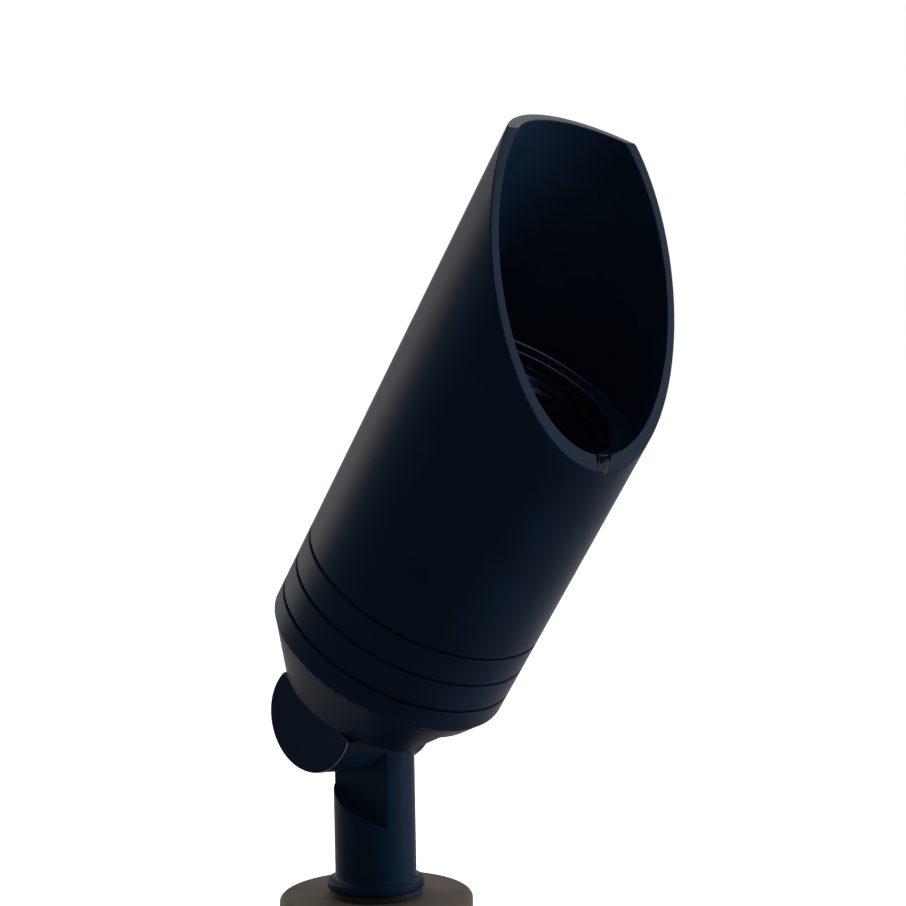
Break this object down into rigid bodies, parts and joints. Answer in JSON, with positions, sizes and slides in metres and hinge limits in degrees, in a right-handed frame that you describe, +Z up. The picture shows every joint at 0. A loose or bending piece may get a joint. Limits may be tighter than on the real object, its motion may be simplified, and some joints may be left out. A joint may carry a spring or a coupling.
{
  "type": "garden spike spotlight",
  "caption": "Spike-mounted garden spotlight: slant-mouthed tubular shroud over a grooved housing with a tapered tail, two-disc aiming knuckle, threaded stem and finned ground stake.",
  "frame": {"origin": "on the stem's axis in the plane of the soil, which is the underside of the stake's cap", "axes": "+Z up the stem, +X the way that the light leans, -Y the side that the knuckle's lug is on"},
  "size_m": [0.1039, 0.0634, 0.4124],
  "materials": {
    "powder_coat": "satin black powder coat",
    "stake_plastic": "moulded, slightly rough",
    "black_rubber": "matt",
    "silicone": "matt",
    "lens_glass": "clear tempered",
    "stainless": "satin",
    "lamp_aluminium": "die-cast, satin",
    "lamp_cover": "clear moulded",
    "board": "white solder mask",
    "lamp_plastic": "moulded",
    "ceramic": "glazed ceramic",
    "contact_brass": "plain",
    "lead_sleeve": "silicone sleeve"
  },
  "bodies": {
    "stake": {"ground_stake": "stake_plastic"},
    "stem_washer": {"stem_seal": "black_rubber"},
    "stem": {"stem": "powder_coat", "stem_grommet": "black_rubber", "knuckle_seal": "black_rubber"},
    "fixture": {"rear_housing": "powder_coat", "shroud_seals": "black_rubber", "lamp_body": "lamp_aluminium", "lamp_board": "board", "lamp_optic": "lamp_cover", "lamp_base": "lamp_plastic", "lamp_pins": "contact_brass", "lamp_socket": "ceramic", "socket_contacts": "contact_brass", "socket_screws": "stainless", "socket_bracket": "stainless", "bracket_screws": "stainless", "housing_plug": "black_rubber", "socket_leads": "lead_sleeve"},
    "lens_unit": {"lens": "lens_glass", "lens_gasket": "silicone", "lens_clip": "stainless"},
    "shroud": {"shroud": "powder_coat"},
    "screw_washer": {"knuckle_washer": "stainless"},
    "clamp_screw": {"knuckle_screw": "stainless"}
  },
  "joints": [
    {"name": "stem_turn", "type": "hinge", "parent": "stake", "child": "stem_washer", "pos_m": [0, 0, 0], "axis": [0, 0, 1], "range_deg": [0, 360]},
    {"name": "stem_rise", "type": "slide", "parent": "stem_washer", "child": "stem", "axis": [0, 0, 1], "range_m": [0, 0.00182]},
    {"name": "knuckle_tilt", "type": "hinge", "parent": "stem", "child": "fixture", "pos_m": [-0.0026, 0, 0.0574], "axis": [0, 1, 0], "range_deg": [-94.7, 55.3]},
    {"name": "shroud_pull", "type": "slide", "parent": "fixture", "child": "lens_unit", "axis": [0.5693, 0, 0.8221], "range_m": [0, 0.0125]},
    {"name": "shroud_turn", "type": "hinge", "parent": "lens_unit", "child": "shroud", "pos_m": [-0.00334, -0.001, 0.05791], "axis": [0.5693, 0, 0.8221], "continuous": true},
    {"name": "clamp_screw_back_out", "type": "slide", "parent": "fixture", "child": "screw_washer", "axis": [0, 1, 0], "range_m": [0, 0.0005]},
    {"name": "clamp_screw_turn", "type": "hinge", "parent": "screw_washer", "child": "clamp_screw", "pos_m": [-0.0026, 0, 0.0574], "axis": [0, 1, 0], "range_deg": [0, 181]}
  ],
  "couplings": [
    {"joint": "stem_rise", "follows": "stem_turn", "m_per_rad": 0.00028875},
    {"joint": "clamp_screw_turn", "follows": "clamp_screw_back_out", "rad_per_m": 6283.2}
  ]
}
